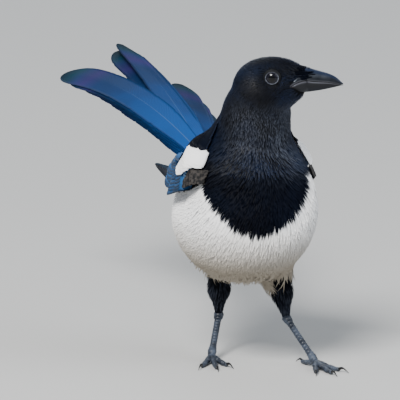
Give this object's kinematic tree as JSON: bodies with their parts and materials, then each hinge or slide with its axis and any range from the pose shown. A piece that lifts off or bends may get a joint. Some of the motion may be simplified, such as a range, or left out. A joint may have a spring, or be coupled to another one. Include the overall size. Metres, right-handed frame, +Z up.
{
  "type": "eurasian magpie",
  "caption": "Life-size Eurasian magpie in mid step, glossy black, white and blue, with its head turned to its left and its long graduated tail cocked and part fanned.",
  "frame": {"origin": "on the floor, under the middle of the part's box", "axes": "+Z up; the bird faces -Y, and its left side is +X"},
  "size_m": [0.1092, 0.3638, 0.2294],
  "materials": {
    "plumage_black": "soft glossy black body feathers",
    "plumage_white": "soft white belly and flank feathers",
    "wing_feathers": "stiff flight feathers with a blue gloss",
    "tail_feathers": "long glossy feathers, blue turning purple and green",
    "bill_horn": "dark horn with a low sheen",
    "claw_horn": "dark horn",
    "leg_scales": "dark blue-grey scaled skin",
    "eye_gloss": "wet dark brown eye"
  },
  "bodies": {
    "root": {"torso": "plumage_white", "neck": "plumage_black", "head": "plumage_black", "bill_upper": "bill_horn", "bill_lower": "bill_horn", "tail": "tail_feathers", "eye_left": "eye_gloss", "wing_left": "wing_feathers", "thigh_left": "plumage_black", "shank_left": "leg_scales", "foot_left": "leg_scales", "claw_inner_left": "claw_horn", "claw_middle_left": "claw_horn", "claw_outer_left": "claw_horn", "claw_hind_left": "claw_horn", "eye_right": "eye_gloss", "wing_right": "wing_feathers", "thigh_right": "plumage_black", "shank_right": "leg_scales", "foot_right": "leg_scales", "claw_inner_right": "claw_horn", "claw_middle_right": "claw_horn", "claw_outer_right": "claw_horn", "claw_hind_right": "claw_horn"}
  },
  "joints": []
}
